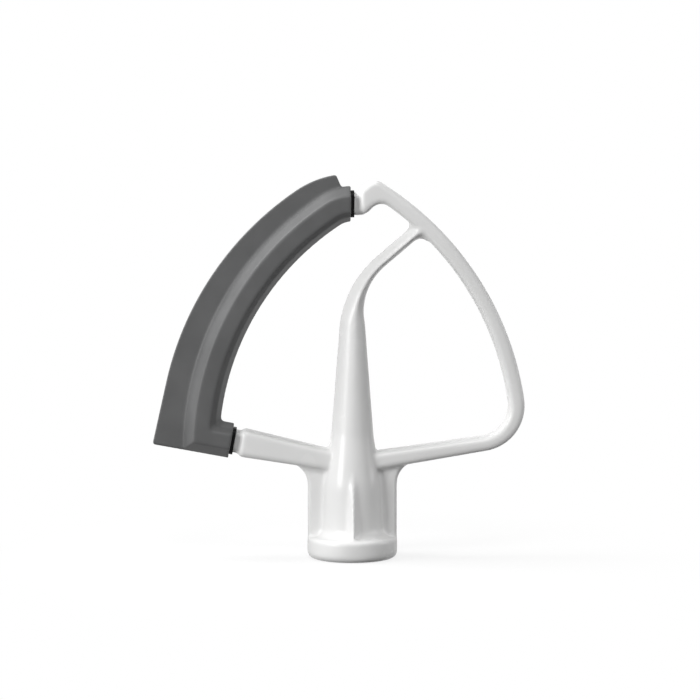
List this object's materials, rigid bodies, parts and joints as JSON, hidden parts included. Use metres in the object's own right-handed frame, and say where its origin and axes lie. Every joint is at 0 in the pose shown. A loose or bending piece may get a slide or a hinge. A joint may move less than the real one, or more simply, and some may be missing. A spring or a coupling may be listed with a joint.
{
  "type": "stand mixer flat beater",
  "caption": "Flat beater for a stand mixer: coated cast loop with a hub, bayonet bore and curved centre shaft, and a soft wiping edge along one side.",
  "frame": {"origin": "centre of the drive bore at the mouth of the hub", "axes": "+Z along the bore from its mouth to the tip of the beater, the frame in the XZ plane, the soft edge towards -X"},
  "size_m": [0.1348, 0.0328, 0.1391],
  "materials": {
    "coating": "satin",
    "sleeve": "satin",
    "soft_edge": "matte"
  },
  "bodies": {
    "root": {"beater_frame": "coating", "edge_core": "sleeve", "flex_edge": "soft_edge"}
  },
  "joints": []
}
